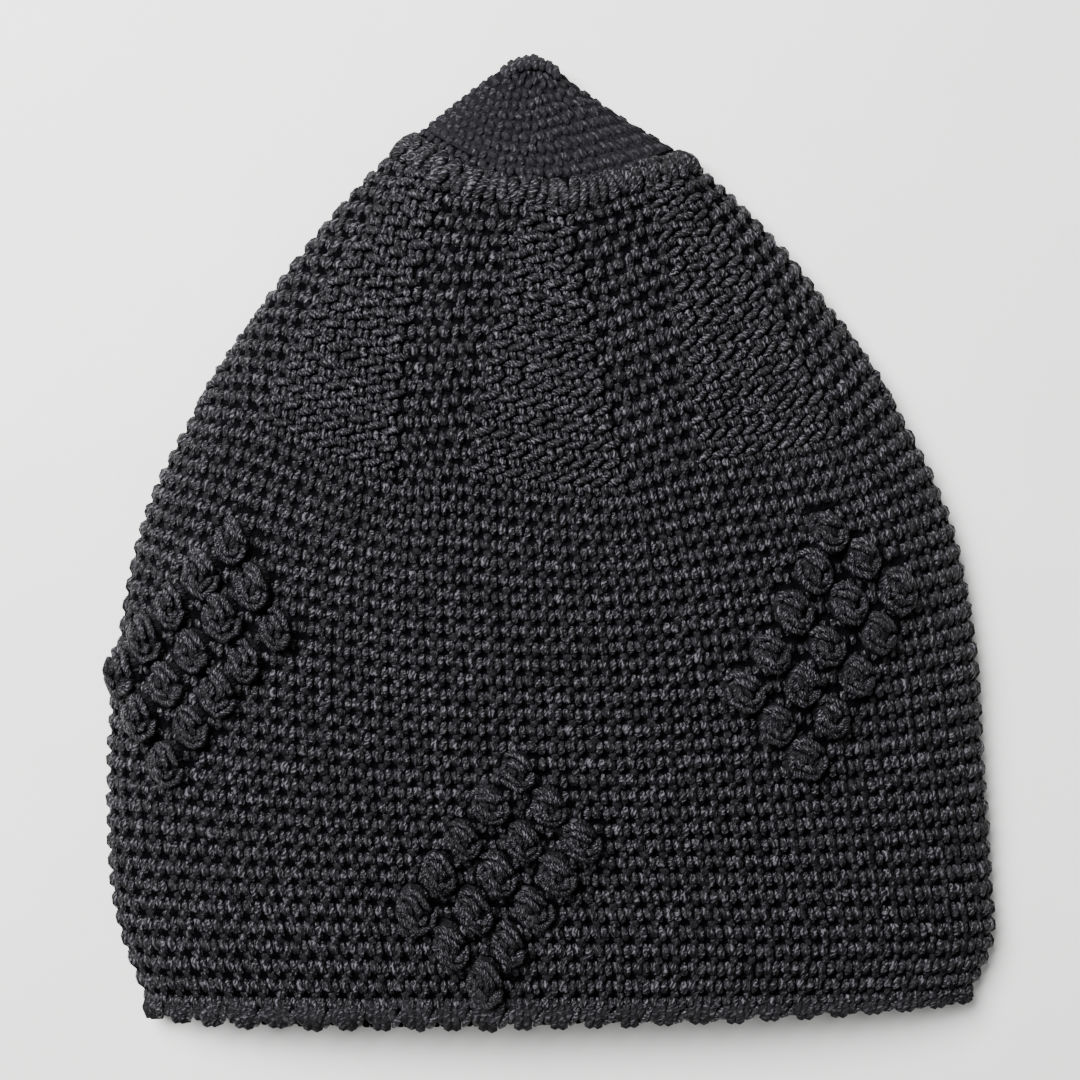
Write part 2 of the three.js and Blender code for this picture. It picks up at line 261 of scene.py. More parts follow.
@functools.cache
def round_sizes(at_round):
    """A round's own sizes, with the lengths along its loop that turn a share into an angle."""
    at = {name: column_at(name, at_round) for name in COLUMNS}
    at["lift"] = max(at["lift"], 0)
    at["under_drop"] = UNDER_RIM_DROP * smoothstep(at_round, UNDER_DROP_FROM, RIM)
    loop = loop_points(at, np.linspace(0, 2 * math.pi, LOOP_STEPS + 1), 0)
    steps = np.linalg.norm(np.diff(loop, axis=0), axis=1)
    at["lengths"] = np.concatenate([[0], np.cumsum(steps)])
    return at


def cloth_points(at_round, shares, depth=0.0):
    """Points of the cloth in millimetres at shares of the way round one round."""
    at = round_sizes(float(at_round))
    stretched = shares + at["stretch"] / (2 * math.pi) * np.sin(2 * math.pi * shares)
    turns = np.floor(stretched)
    wanted = (stretched - turns) * at["lengths"][-1]
    part = np.interp(wanted, at["lengths"], np.linspace(0, 1, LOOP_STEPS + 1))
    return loop_points(at, 2 * math.pi * (turns + part), depth)


def new_object(name, points, faces):
    """An object with a mesh of these points, in metres, and faces."""
    mesh = bpy.data.meshes.new(name)
    mesh.from_pydata([tuple(p) for p in points], [], faces)
    made = bpy.data.objects.new(name, mesh)
    bpy.context.scene.collection.objects.link(made)
    return made


def grid_faces(rows, columns, closed=False):
    """Quads of a grid of points, with each row closed to a ring where asked."""
    faces = []
    for i in range(rows - 1):
        for j in range(columns if closed else columns - 1):
            k = (j + 1) % columns
            faces.append((i * columns + j, (i + 1) * columns + j, (i + 1) * columns + k, i * columns + k))
    return faces


def grid_corners(rows, sides):
    """UVs of the quads of a closed grid, from its rows' values and the values of each side's edges."""
    corners = []
    for this, following in zip(rows, rows[1:]):
        for left, right in sides:
            corners += [(left, this), (left, following), (right, following), (right, this)]
    return corners


def write_cord_uv(mesh, corners):
    """Writes the UV map that the cord's materials read: round the cord, and along it."""
    layer = mesh.uv_layers.new(name="cord")
    layer.data.foreach_set("uv", np.asarray(corners, dtype=np.float32).ravel())


def write_values(mesh, name, values):
    """Writes a number for each point of a mesh."""
    layer = mesh.attributes.new(name, "FLOAT", "POINT")
    layer.data.foreach_set("value", np.asarray(values, dtype=np.float32))


class Socket:
    """An output of a node. Sums with it add their Math nodes."""

    def __init__(self, nodes, output):
        self.nodes = nodes
        self.output = output

    def math(self, operation, *values):
        """A Math node whose first value is this output."""
        return self.nodes.math(operation, self, *values)

    def __add__(self, other):
        return self.math("ADD", other)

    def __radd__(self, other):
        return self.nodes.math("ADD", other, self)

    def __sub__(self, other):
        return self.math("SUBTRACT", other)

    def __rsub__(self, other):
        return self.nodes.math("SUBTRACT", other, self)

    def __mul__(self, other):
        return self.math("MULTIPLY", other)

    def __rmul__(self, other):
        return self.nodes.math("MULTIPLY", other, self)

    def __truediv__(self, other):
        return self.math("DIVIDE", other)

    def __rtruediv__(self, other):
        return self.nodes.math("DIVIDE", other, self)


class Nodes:
    """A node tree in the making."""

    def __init__(self, tree):
        self.tree = tree

    def add(self, kind, settings=None, inputs=None, output=None):
        """Adds a node with its settings, values and links, and gives one of its outputs."""
        node = self.tree.nodes.new(kind)
        for name, value in (settings or {}).items():
            setattr(node, name, value)
        self.fill(node, inputs or {})
        return Socket(self, self.find(node.outputs, output)) if len(node.outputs) else None

    def fill(self, node, inputs):
        """Sets the values and links of a node's inputs, each known by its name or its place."""
        for place, value in inputs.items():
            socket = node.inputs[place] if isinstance(place, int) else self.find(node.inputs, place)
            if isinstance(value, Socket):
                self.tree.links.new(value.output, socket)
            else:
                socket.default_value = value

    @staticmethod
    def find(sockets, name):
        """The first socket in use that has this name, or the first in use."""
        return next(s for s in sockets if s.enabled and (name is None or s.name == name))

    def math(self, operation, *values):
        return self.add("ShaderNodeMath", {"operation": operation}, dict(enumerate(values)))

    def vector_math(self, operation, inputs):
        return self.add("ShaderNodeVectorMath", {"operation": operation}, inputs)

    def vector(self, x, y, z=0.0):
        return self.add("ShaderNodeCombineXYZ", {}, {"X": x, "Y": y, "Z": z})

    def axis(self, vector, name):
        return self.add("ShaderNodeSeparateXYZ", {}, {"Vector": vector}, name)

    def attribute(self, name, kind="FLOAT"):
        """A named attribute of the geometry."""
        return self.add("GeometryNodeInputNamedAttribute", {"data_type": kind}, {"Name": name})

    def random(self, low, high, seed, kind="FLOAT"):
        """A random value for each point or stitch."""
        ends = {"Min": low, "Max": high, "Seed": seed}
        return self.add("FunctionNodeRandomValue", {"data_type": kind}, ends)


# How the stitches are repeated and wrapped on the cloth

STITCH_INPUTS = {
    "Places": "NodeSocketGeometry",
    "Stitches To Pick": "NodeSocketCollection",
    "Cloth": "NodeSocketObject",
    "Cord": "NodeSocketMaterial",
    "Way Round": "NodeSocketFloat",
    "Round Height": "NodeSocketFloat",
    "Turn Variation": "NodeSocketFloat",
    "Size Variation": "NodeSocketFloat",
    "Shift Variation": "NodeSocketFloat",
    "Seed": "NodeSocketInt",
}
MOST_TO_PICK = 99  # the pick wraps round to the stitches that there are


def repeat_stitches(nodes, given):
    """Sets one of the stitches at each place, uneven as handwork is, and marks it with its lot."""

    def vary(amount, step):
        """A random value up to this amount to both sides, with a seed of its own."""
        return nodes.random(amount * -1, amount, given["Seed"] + step)

    shift = nodes.vector(vary(given["Shift Variation"], 1), vary(given["Shift Variation"], 2))
    places = nodes.add("GeometryNodeSetPosition", {}, {"Geometry": given["Places"], "Offset": shift})
    lean = nodes.attribute("lean") + vary(given["Turn Variation"], 3)
    grow = 1 + vary(given["Size Variation"], 4)
    kinds = {"Collection": given["Stitches To Pick"], "Separate Children": True}
    repeated = nodes.add(
        "GeometryNodeInstanceOnPoints",
        {},
        {
            "Points": places,
            "Instance": nodes.add("GeometryNodeCollectionInfo", {}, kinds),
            "Pick Instance": True,
            "Instance Index": nodes.random(0, MOST_TO_PICK, given["Seed"] + 5, "INT"),
            "Rotation": nodes.vector(0.0, 0.0, lean),
            "Scale": nodes.vector(nodes.attribute("wide") * grow, nodes.attribute("tall") * grow, grow),
        },
    )
    marked = nodes.add(
        "GeometryNodeStoreNamedAttribute",
        {"data_type": "FLOAT", "domain": "INSTANCE"},
        {"Geometry": repeated, "Name": "lot", "Value": nodes.random(0.0, 1.0, given["Seed"])},
    )
    return nodes.add("GeometryNodeRealizeInstances", {}, {"Geometry": marked})


def wrap_stitches(nodes, given, flat):
    """Wraps the stitches from the flat chart on the cloth, by the carrier's own chart."""
    x, y, z = [nodes.axis(nodes.add("GeometryNodeInputPosition"), axis) for axis in "XYZ"]
    share = x / given["Way Round"]
    at_round = (y / given["Round Height"] * -1).math("MAXIMUM", TIP_START).math("MINIMUM", RIM)
    chart_place = nodes.vector((share + CHART_SIDE) / (2 * CHART_SIDE), (at_round - CHART_TOP) / CHART_ROUNDS)
    cloth = nodes.add("GeometryNodeObjectInfo", {}, {"Object": given["Cloth"]}, "Geometry")

    def sample(value):
        """What a value of the carrier is at a place on the chart."""
        place = nodes.attribute("place", "FLOAT_VECTOR")
        read = {"Mesh": cloth, "Value": value, "UV Map": place, "Sample UV": chart_place}
        return nodes.add("GeometryNodeSampleUVSurface", {"data_type": "FLOAT_VECTOR"}, read, "Value")

    outward = sample(nodes.attribute("outward", "FLOAT_VECTOR"))
    lifted = nodes.vector_math("SCALE", {"Vector": outward, "Scale": z})
    wrapped = nodes.vector_math("ADD", {0: sample(nodes.add("GeometryNodeInputPosition")), 1: lifted})
    # Stitches that rest on the surface are pressed flat on it.
    above = nodes.vector_math("MAXIMUM", {0: wrapped, 1: (-1.0, -1.0, 0.0)})
    return nodes.add("GeometryNodeSetPosition", {}, {"Geometry": flat, "Position": above})


def stitch_tree():
    """Repeats a stitch at its places on the chart, and wraps the chart on the cloth."""
    tree = bpy.data.node_groups.new("stitches on the cloth", "GeometryNodeTree")
    for name, kind in STITCH_INPUTS.items():
        tree.interface.new_socket(name, in_out="INPUT", socket_type=kind)
    tree.interface.new_socket("Stitches", in_out="OUTPUT", socket_type="NodeSocketGeometry")
    nodes = Nodes(tree)
    given = {name: nodes.add("NodeGroupInput", output=name) for name in STITCH_INPUTS}
    on_cloth = wrap_stitches(nodes, given, repeat_stitches(nodes, given))
    smooth = nodes.add("GeometryNodeSetShadeSmooth", {}, {"Geometry": on_cloth})
    corded = nodes.add("GeometryNodeSetMaterial", {}, {"Geometry": smooth, "Material": given["Cord"]})
    nodes.add("NodeGroupOutput", {}, {"Stitches": corded})
    return tree


def chart_carrier():
    """The cloth's outer face with its chart, from which the stitches read where they lie."""
    point = np.arange(TIP_START, POINT_END, CARRIER_FINE_STEP)
    rounds = np.concatenate([point, np.arange(POINT_END, RIM, CARRIER_STEP), [RIM]])
    shares = np.linspace(-CHART_SIDE, CHART_SIDE, CARRIER_COLUMNS)
    points = np.array([cloth_points(r, shares) for r in rounds]) * MM
    along = np.gradient(points, axis=1)
    to_tip = -np.gradient(points, axis=0)
    outward = np.cross(along, to_tip)
    outward /= np.linalg.norm(outward, axis=-1, keepdims=True)
    place = np.zeros(points.shape)
    place[..., 0] = (shares + CHART_SIDE) / (2 * CHART_SIDE)
    place[..., 1] = ((rounds - CHART_TOP) / CHART_ROUNDS)[:, None]
    made = new_object("chart_carrier", points.reshape(-1, 3), grid_faces(len(rounds), len(shares)))
    for name, values in (("outward", outward), ("place", place)):
        layer = made.data.attributes.new(name, "FLOAT_VECTOR", "POINT")
        layer.data.foreach_set("vector", values.astype(np.float32).ravel())
    return made


# The stitches, each shaped on the chart

HAND_SEED = 7
hand = np.random.default_rng(HAND_SEED)  # the unevenness of handwork, the same in each run


def strand(path, thickness, sides=STRAND_SIDES):
    """One length of cord along a path of the chart, closed at its ends: points, faces and UVs."""
    path = np.array(path, dtype=float)
    path += hand.uniform(-UNEVEN, UNEVEN, path.shape) * UNEVEN_BY_AXIS
    thickness = np.array(thickness, dtype=float) * hand.uniform(THINNEST, THICKEST)
    tangent = np.gradient(path, axis=0)
    tangent /= np.linalg.norm(tangent, axis=1, keepdims=True)
    side = np.cross(tangent, (0, 0, 1))
    side /= np.linalg.norm(side, axis=1, keepdims=True)
    upward = np.cross(side, tangent)
    angles = -math.pi / 2 + 2 * math.pi * np.arange(sides) / sides
    cosines, sines = np.cos(angles)[None, :, None], np.sin(angles)[None, :, None]
    radius = thickness[:, None, None] / 2
    rings = path[:, None] + radius * (cosines * side[:, None] + sines * upward[:, None])
    first_end = path[0] - tangent[0] * thickness[0] * STRAND_END
    last_end = path[-1] + tangent[-1] * thickness[-1] * STRAND_END
    points = np.concatenate([rings.reshape(-1, 3), [first_end, last_end]])

    steps = np.linalg.norm(np.diff(path, axis=0), axis=1)
    along = np.concatenate([[0], np.cumsum(steps)]) / MM_IN_CM
    first, last = along[0], along[-1]
    count = len(path)
    faces = grid_faces(count, sides, closed=True)
    corners = grid_corners(along, [(k / sides, (k + 1) / sides) for k in range(sides)])
    last_ring = (count - 1) * sides
    for k in range(sides):
        following = (k + 1) % sides
        left, middle, right = k / sides, (k + 0.5) / sides, (k + 1) / sides
        faces.append((count * sides, k, following))
        corners += [(middle, first), (left, first), (right, first)]
        faces.append((count * sides + 1, last_ring + following, last_ring + k))
        corners += [(middle, last), (right, last), (left, last)]
    return points, faces, corners


def stitch_of(name, strands, deep=()):
    """A stitch of several strands, as an object in metres on the chart, with those that lie deep numbered so
    that the cord paints them in shade.
    """
    points, faces, corners = [], [], []
    for place, (strand_points, strand_faces, strand_corners) in enumerate(strands):
        number = place + DEEP_FROM if place in deep else place
        faces += [tuple(i + len(points) for i in face) for face in strand_faces]
        points += list(strand_points * MM)
        corners += [(around + number, along) for around, along in strand_corners]
    made = new_object(name, points, faces)
    write_cord_uv(made.data, corners)
    return made


def variants(name, count, make):
    """A collection of stitches of one kind, each made a little differently."""
    kinds = bpy.data.collections.new(name)
    bpy.context.scene.collection.children.link(kinds)
    for _ in range(count):
        made = make()
        bpy.context.scene.collection.objects.unlink(made)
        kinds.objects.link(made)
    return kinds


def lump(x, y, top, length, thickness, lean, sides=STRAND_SIDES):
    """A short fat strand that comes out of the cloth and goes back in: where its middle lies, the
    height of its top, its length and thickness, and its lean to the left in degrees."""
    turned = math.radians(lean)
    path = [
        (
            x - math.sin(turned) * s * length,
            y + math.cos(turned) * s * length,
            top - thickness / 2 - LUMP_BOW * (2 * abs(s)) ** 2,
        )
        for s in LUMP_STEPS
    ]
    end = LUMP_TAPER * thickness
    return strand(path, [end, thickness, thickness, end], sides)


def plain_stitch():
    """Two legs of one stitch and, between it and the stitch beside it, the loop of the one below."""
    legs = [lump(-1.3, -0.5, 0.25, 3.3, 2.3, 4, 5), lump(1.0, -0.2, 0.2, 3.2, 2.7, 42)]
    loop_below = lump(1.7, 1.9, -0.7, 2.6, 2.6, 20, 5)
    # The loop below lies deep, with its top turned away, and is painted in shade.
    return stitch_of("plain_stitch", [*legs, loop_below], deep={2})


def panel_stitch():
    """A long slanted bar over two short legs."""
    bar_path = [(-2.9, -0.2, -0.9), (-1.7, 0.3, 0.0), (0, 1.0, 0.2), (1.7, 1.75, 0.0), (2.9, 2.2, -0.9)]
    slanted_bar = strand(bar_path, [0.9, 1.95, 2.2, 1.95, 0.9])
    legs = [lump(-1.15, -1.5, 0.7, 2.7, 2.1, 36), lump(1.0, -1.1, 0.65, 2.7, 2.1, 36)]
    return stitch_of("panel_stitch", [slanted_bar, *legs])


def ridge_stitch():
    """Tall upright strands side by side, and the loops that they come out of and go into."""

    def leg(x, lean, top, reach):
        """One strand: how far up it each point lies, for its reach, and how far below its top."""
        bow = ((1.0, 2.0), (0.7, 0.4), (0.25, 0.0), (-0.25, 0.0), (-0.7, 0.5), (-1.0, 2.3))
        path = [(x - lean * up * reach, up * reach, top - below) for up, below in bow]
        return strand(path, [2.0, 2.9, 3.0, 3.0, 2.8, 1.9])

    legs = [
        leg(-1.35, hand.uniform(-0.1, 0.5), hand.uniform(-0.9, -0.2), hand.uniform(3.3, 4.8)),
        leg(1.1, hand.uniform(-0.35, 0.3), hand.uniform(-1.0, -0.3), hand.uniform(3.1, 4.7)),
    ]
    loops = [lump(0.2, 3.4, 0.25, 3.0, 2.4, 45), lump(-1.9, -3.0, 0.2, 2.8, 2.4, -20)]
    return stitch_of("ridge_stitch", [*legs, *loops])


def on_dome(points, high):
    """Puts points of a popcorn on its dome, each a little astray."""
    half_wide, half_tall = POPCORN_DOME
    made = []
    for x, y in points:
        x += hand.uniform(-POPCORN_UNEVEN, POPCORN_UNEVEN)
        y += hand.uniform(-POPCORN_UNEVEN, POPCORN_UNEVEN)
        inside = max(1 - (x / half_wide) ** 2 - (y / half_tall) ** 2, 0)
        made.append((x - POPCORN_SLANT * y, y, POPCORN_HIGH * high * math.sqrt(inside)))
    return made


POPCORN_CORE = ((0.5, -5.0, -1.6), (0.3, -3.2, -1.4), (0, 0, -1.5), (-0.3, 3.2, -1.4), (-0.5, 5.0, -1.6))
# One row for each strand that is laid on the core: its path on the dome, the height of the dome
# there, and its thickness.
POPCORN_STRANDS = (
    ([(-3.0, 3.0), (-4.4, 1.0), (-4.6, -1.2)], 4.6, 2.4),
    ([(-4.7, -0.3), (-3.9, -2.6), (-2.2, -4.5)], 4.6, 2.5),
    ([(-3.0, -3.6), (-0.8, -5.4), (1.6, -5.2)], 4.7, 2.5),
    ([(0.9, -5.3), (3.1, -4.0), (4.6, -1.4)], 4.6, 2.4),
    ([(-2.9, 2.0), (-2.7, 0.4), (-3.2, -1.2)], 4.9, 2.2),
    ([(-1.9, -0.4), (-1.5, -2.2), (-0.4, -3.8)], 4.9, 2.3),
    ([(0.2, -3.4), (1.9, -3.2), (3.0, -1.6)], 4.3, 2.1),
    ([(-2.2, 5.0), (-0.2, 5.5), (1.9, 4.4), (3.3, 2.4), (4.4, 0.0)], 5.2, 2.5),
    ([(-1.3, 4.0), (0.6, 3.1), (1.7, 1.4), (2.3, -0.2)], 4.9, 2.3),
    ([(-1.6, 2.2), (-1.0, 0.6), (-1.2, -0.8)], 3.9, 2.0),
    ([(0.5, 1.2), (0.7, -0.4), (0.4, -1.8)], 3.0, 1.9),
)


def popcorn_stitch():
    """A bundle of stitches gathered to a puffy cup: a fat core, short strands round its lower side,
    a twisted loop over its top, and two strands that lie deep in its middle; the core and these two
    are painted in shade."""
    strands = [strand(POPCORN_CORE, [5.8, 8.2, 8.8, 8.2, 5.8], 8)]
    for points, high, thickness in POPCORN_STRANDS:
        end = POPCORN_TAPER * thickness
        middle = [thickness] * (len(points) - 2)
        strands.append(strand(on_dome(points, high), [end, *middle, end]))
    return stitch_of("popcorn_stitch", strands, deep={0, 10, 11})


def scallop():
    """A puff of fat strands that turns over the free edge, with a short slanted strand beside it."""
    strands = []
    for reach in (-3.0, -1.05, 1.05, 2.9):
        reach += hand.uniform(-0.25, 0.25)
        down = 4.6 - 0.38 * reach * reach + hand.uniform(-0.3, 0.3)
        path = [
            (0.8 * reach, 4.6, -2.2),
            (0.85 * reach, 3.0, -1.4),
            (0.95 * reach, 0.8, -0.2),
            (reach, -down + 1.9, -0.3),
            (0.95 * reach, -down, -1.9),
            (0.85 * reach, -down + 1.2, -3.3),
        ]
        strands.append(strand(path, [1.8, 2.6, 3.1, 3.1, 2.8, 1.8]))
    strands.append(lump(4.5, 0.2, 1.2, 5.2, 2.1, -28))
    # The puff's strands are painted in shade, as the edge turns away from the light; the slanted strand is
    # not.
    return stitch_of("scallop", strands, deep={0, 1, 2, 3})


# Where the stitches go. A place is a share of the way round, a round, a height, the width and the
# length that the stitch has there for those it is shaped with, and a lean in radians.


def from_middle(share):
    """The same share of the way round, counted from the middle of the upper layer to both sides."""
    return (share + 0.5) % 1 - 0.5


def panel_bars(at_round):
    """How many bars wide a panel is."""
    return PANEL_FIRST_BARS + BARS_PER_ROUND * at_round


def row_wave(share, at_round):
    """How far a row strays towards the rim, in rounds: down along each panel, and up beside it."""
    bars = panel_bars(min(max(at_round, 0), WALL_START))
    panel = bars / (bars + PLAIN_BETWEEN)
    across = from_middle(share * PANELS)
    if abs(across) < panel / 2:
        saw = across / (panel / 2)
    else:
        past = (across - panel / 2) % 1
        saw = 1 - 2 * past / (1 - panel)
    rising = between_0_and_1((at_round - WAVE_FROM) / WAVE_FULL_IN)
    falling = between_0_and_1((WAVE_UNTIL - at_round) / WAVE_LOST_IN)
    wave = WAVE * rising * falling * math.sin(math.pi / 2 * saw)
    if abs(share) < FOLD_SHARE:
        rising = between_0_and_1((at_round - TIP_START) / SKEW_FULL_IN)
        falling = between_0_and_1((SKEW_UNTIL - at_round) / SKEW_LOST_IN)
        wave -= TIP_SKEW * (rising * falling) * math.sin(4 * math.pi * share)
    return wave


def places_of(name, places):
    """A mesh whose points are the places of stitches, moved and turned with their rows' wave."""
    step = 0.002  # share of the way round over which a row's slope is read
    points, sizes = [], []
    for share, at_round, height, wide, tall, lean in places:
        rise = row_wave(share + step, at_round) - row_wave(share - step, at_round)
        lean -= math.atan(rise * ROUND_HEIGHT / (2 * step * WAY_ROUND))
        at_round += row_wave(share, at_round)
        points.append((share * WAY_ROUND * MM, -at_round * ROUND_HEIGHT * MM, height * MM))
        sizes.append((wide, tall, lean))
    made = new_object(name, points, [])
    for label, values in zip(("wide", "tall", "lean"), zip(*sizes)):
        write_values(made.data, label, values)
    return made


def wide_for(count):
    """How wide a stitch is on the chart when this many go round, in plain stitches."""
    return WALL_STITCHES / count


def tip_places():
    """Plain stitches, fewer in each round towards the point."""
    places = []
    for i in range(TIP_ROUNDS):
        at_round = TIP_START + TIP_FIRST + i * (TIP_END - TIP_START) / TIP_ROUNDS
        length = round_sizes(at_round)["lengths"][-1]
        count = max(TIP_FEWEST, round(length / TIP_WIDE))
        for j in range(count):
            share = from_middle((j + TIP_STAGGER * (i % 2)) / count)
            places.append((share, at_round, TIP_HEIGHT, wide_for(count), TIP_TALL, 0))
    return places


def ridge_places():
    """One round of upright stitches."""
    wide = wide_for(RIDGE_STITCHES) * (WAY_ROUND / WALL_STITCHES) / RIDGE_SHAPED_WIDE
    shares = [from_middle((j + 0.5) / RIDGE_STITCHES) for j in range(RIDGE_STITCHES)]
    return [(share, RIDGE_ROUND, RIDGE_HEIGHT, wide, 1, 0) for share in shares]


def crown_places(bars_wanted):
    """The rounds of the crown: its panels' bars, or the plain stitches between them."""
    places = []
    for i in range(WALL_START):
        at_round = i + 0.5
        bars = max(PANEL_FIRST_BARS, round(panel_bars(at_round)))
        plain = math.floor(PLAIN_BETWEEN) if i % 2 else math.ceil(PLAIN_BETWEEN)
        count = (bars + plain * PLAIN_SPREAD) * PANELS
        wide = wide_for(count)
        for panel in range(PANELS):
            first = panel / PANELS - bars / 2 / count
            if bars_wanted:
                for j in range(bars):
                    share = from_middle(first + (j + 0.5) / count)
                    places.append((share, at_round, PANEL_HEIGHT, wide, 1, 0))
            else:
                for j in range(plain):
                    share = from_middle(first + (bars + (j + 0.5) * PLAIN_SPREAD) / count)
                    places.append((share, at_round, 0, wide * PLAIN_SPREAD, 1, 0))
    return places


def cluster_places(name):
    """One slanted lattice of popcorns."""
    first_stitch, first_round = CLUSTERS[name]
    places = []
    for along in range(SHORT_ROW):
        for down in range(LONG_ROW):
            stitch = first_stitch + along * LATTICE_RIGHT + down * LATTICE_LEFT
            at_round = first_round + (along + down) * LATTICE_ROUNDS
            places.append((stitch / WALL_STITCHES, at_round, 0, POPCORN_WIDE, POPCORN_TALL, POPCORN_LEAN))
    return places


def wall_places(upper):
    """The plain stitches of the wall's upper layer or its underside, drawn in at the popcorns."""
    popcorns = [place[:2] for name in CLUSTERS for place in cluster_places(name)]

    def by_popcorn(share, at_round):
        """Whether a stitch lies under or right beside a popcorn."""
        distances = (math.hypot((share - s) * WALL_STITCHES, at_round - r) for s, r in popcorns)
        return any(distance < POPCORN_REACH for distance in distances)

    places = []
    for i in range(WALL_START, WALL_END + 1):
        at_round = WALL_START + (i + 0.5 - WALL_START) * WALL_CLOSE
        for j in range(WALL_STITCHES):
            share = from_middle((j + DRIFT * (i - WALL_START)) / WALL_STITCHES)
            if (abs(share) < FOLD_SHARE) == upper:
                height = -SUNK if by_popcorn(share, at_round) else 0
                places.append((share, at_round, height, 1, 1, 0))
    return places


def edging_places():
    """One round of scallops."""
    return [(from_middle(j / SCALLOPS), SCALLOP_ROUND, 0, 1, 1, 0) for j in range(SCALLOPS)]


# Finishes

# The cord's black, and the lit tone of the highlights painted on its plies and filaments
CORD_BLACK = (0.0034, 0.0032, 0.004, 1)
CORD_LIT = (0.083, 0.079, 0.092, 1)
FILAMENTS_ACROSS = 1.8  # of the noise that draws them, in one ply
FILAMENTS_ALONG = 17  # in a centimetre
LOTS_APART = 100  # how far apart two stitches lie in the noise
STRANDS_APART = 40
LEAST_SPECULAR = 0.04  # of a cord without glints, and what a cord that is all glints adds
GLINT_SPECULAR = 0.09
DEEP_PAINTED_SHADE = 0.5  # share of its painted glints that a deep strand loses, leaving it painted in shade
SMOOTHEST = 0.36  # roughness of a cord that is all glints
ROUGHER = 0.4  # added on a cord without glints
WORN_ROUGHNESS = 0.25  # added between the filaments, and again on a deep strand
CROWN_RELIEF = 0.4  # of a ply's round back in the bump, next to its filaments
FILAMENT_RELIEF = 1.5
# Glints: highlights painted in the base colour on the crowns of plies and filaments
CROWN_GLINT = 0.7  # the same in the glints
FILAMENT_GLINT = 6.4
GLINT_FROM = 3.85  # what the two have to come to before it glints
EVEN_GLINT = 0.3  # strength that all glints have, and what each strand and each ply may add
STRAND_GLINT = 0.4
PLY_GLINT = 0.9

GROUND_BLACK = (0.0018, 0.0017, 0.0021, 1)
GROUND_LIT = (0.02, 0.019, 0.022, 1)
GROUND_SPECULAR = 0.03
STITCH_RIB = 0.25  # height of the ribs that each stitch and each round make
ROUND_RIB = 0.35
RIB_LIT = 0.4  # how much of the lit tone the ribs show, and what the tip adds
TIP_LIT = 0.75

PALE_DARKER = (0.74, 0.75, 0.73, 1)
PALE_LIGHTER = (0.80, 0.81, 0.79, 1)
PALE_SPECULAR = 0.2


def finish(name, specular):
    """A new material, with its nodes and its shader."""
    material = bpy.data.materials.new(name)
    material.use_nodes = True
    shader = material.node_tree.nodes["Principled BSDF"]
    shader.inputs["Specular IOR Level"].default_value = specular
    return material, Nodes(material.node_tree), shader


def mixed(nodes, share, first, second):
    """The first colour, with this share of the second."""
    return nodes.add("ShaderNodeMix", {"data_type": "RGBA"}, {"Factor": share, "A": first, "B": second})


def plied_cord(name, plies, pitch, relief, glints, body):
    """Plied cord: plies that twist along it, and the fine filaments that run in each, with highlights
    painted in its colour where they rise. Given are its plies, the millimetres of one turn, how far its
    relief and its painted glints show, and how much of the lit tone its body has evenly."""
    material, nodes, shader = finish(name, LEAST_SPECULAR + GLINT_SPECULAR * glints)
    uv = nodes.add("ShaderNodeUVMap", {"uv_map": "cord"})
    around, along = nodes.axis(uv, "X"), nodes.axis(uv, "Y")
    lot = nodes.add("ShaderNodeAttribute", {"attribute_name": "lot"}, {}, "Fac") * LOTS_APART
    number = around.math("FLOOR")
    # Strands numbered from 50 on lie deep: their glints are dimmed as painted shade, and they are rougher.
    deep = number.math("GREATER_THAN", DEEP_FROM - 0.5)

    def noise(dimensions, where):
        settings = {"noise_dimensions": dimensions}
        return nodes.add("ShaderNodeTexWhiteNoise", settings, {"Vector": where}, "Value")

    own = noise("2D", nodes.vector(number, lot))
    turned = around * plies + along * (MM_IN_CM * plies / pitch) + own
    own_ply = noise("3D", nodes.vector(turned.math("FLOOR"), number, lot))
    in_ply = 2 * turned.math("FRACT") - 1
    crown = 1 - in_ply * in_ply
    where = nodes.vector(turned * FILAMENTS_ACROSS, along * FILAMENTS_ALONG, own * STRANDS_APART)
    filament = nodes.add("ShaderNodeTexNoise", {}, {"Vector": where, "Scale": 1.0, "Detail": 1.5}, "Fac")
    height = (crown * CROWN_RELIEF + filament * FILAMENT_RELIEF) * relief
    bump = nodes.add("ShaderNodeBump", {}, {"Strength": 1.0, "Distance": 0.0004, "Height": height})
    # Highlights are painted in the base colour where a ply's crown and its filaments rise; the body adds an
    # even share of the lit tone.
    painted_glint = (crown * CROWN_GLINT + filament * FILAMENT_GLINT - GLINT_FROM).math("MAXIMUM", 0.0)
    # Glints differ by strand and by ply, and on a deep strand they are dimmed as painted shade.
    uneven = (EVEN_GLINT + STRAND_GLINT * own + PLY_GLINT * own_ply) * (1 - DEEP_PAINTED_SHADE * deep)
    shade = painted_glint * uneven * glints + body
    roughness = SMOOTHEST + ROUGHER * (1 - glints)
    worn = roughness + WORN_ROUGHNESS * (1 - filament) + WORN_ROUGHNESS * deep
    colour = mixed(nodes, shade, CORD_BLACK, CORD_LIT)
    nodes.fill(shader, {"Normal": bump, "Base Color": colour, "Roughness": worn})
    return material


